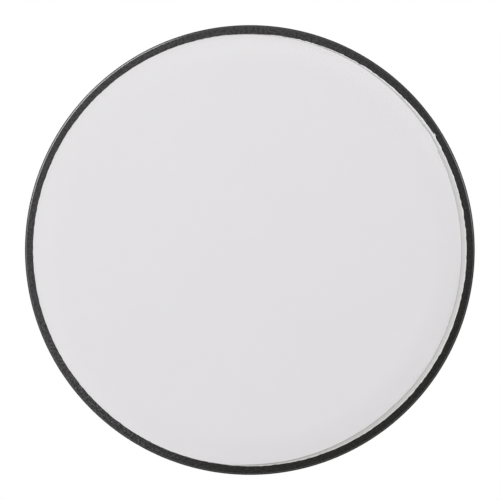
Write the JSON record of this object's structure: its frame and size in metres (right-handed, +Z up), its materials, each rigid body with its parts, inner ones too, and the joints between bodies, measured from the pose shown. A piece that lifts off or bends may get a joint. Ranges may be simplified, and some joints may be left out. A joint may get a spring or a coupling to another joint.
{
  "type": "survey prism",
  "caption": "Canister survey prism: cube-corner glass in a thin black can that unscrews from a coned rear housing with a threaded mounting socket.",
  "frame": {"origin": "mouth of the threaded mounting socket in the rear face, on the optical axis", "axes": "+Y along the optical axis towards the rear, so the glass looks towards -Y; +Z up, towards the prism edge that points up; +X to the right as seen from the front"},
  "size_m": [0.0664, 0.07, 0.0664],
  "materials": {
    "black_anodised": "satin, fine-grained",
    "pale_sealant": "matt",
    "glass": "polished",
    "silver": "mirror",
    "lacquer": "semi-gloss",
    "band_film": "matt",
    "pad_rubber": "matt",
    "cup_plastic": "matt",
    "washer_nylon": "matt",
    "housing_paint": "satin, fine-grained",
    "oring_rubber": "matt",
    "spring_steel": "brushed",
    "grip_rubber": "matt",
    "insert_steel": "turned",
    "fibre": "matt",
    "screw_steel": "satin",
    "screw_brass": "turned"
  },
  "bodies": {
    "housing_body": {"rear_housing": "housing_paint", "spigot_oring": "oring_rubber", "thrust_washer": "spring_steel", "wave_spring": "spring_steel", "grip_band": "grip_rubber", "bore_seal_disc": "screw_steel", "thread_insert": "insert_steel", "insert_seal": "fibre", "insert_screws": "screw_steel", "insert_dowel": "screw_steel", "purge_screw": "screw_brass", "purge_seal": "fibre"},
    "washer_body": {"joint_washer": "washer_nylon"},
    "can_body": {"sleeve": "black_anodised", "front_seal": "pale_sealant", "prism": "glass", "prism_silvering": "silver", "prism_lacquer": "lacquer", "centering_band": "band_film", "facet_pads": "pad_rubber", "prism_cup": "cup_plastic"}
  },
  "joints": [
    {"name": "can_travel", "type": "slide", "parent": "housing_body", "child": "washer_body", "axis": [0, -1, 0], "range_m": [0, 0.0065]},
    {"name": "can_turn", "type": "hinge", "parent": "washer_body", "child": "can_body", "pos_m": [0, -0.0235, 0], "axis": [0, -1, 0], "range_deg": [0, 2340]}
  ],
  "couplings": [
    {"joint": "can_travel", "follows": "can_turn", "m_per_rad": 0.00015915}
  ]
}
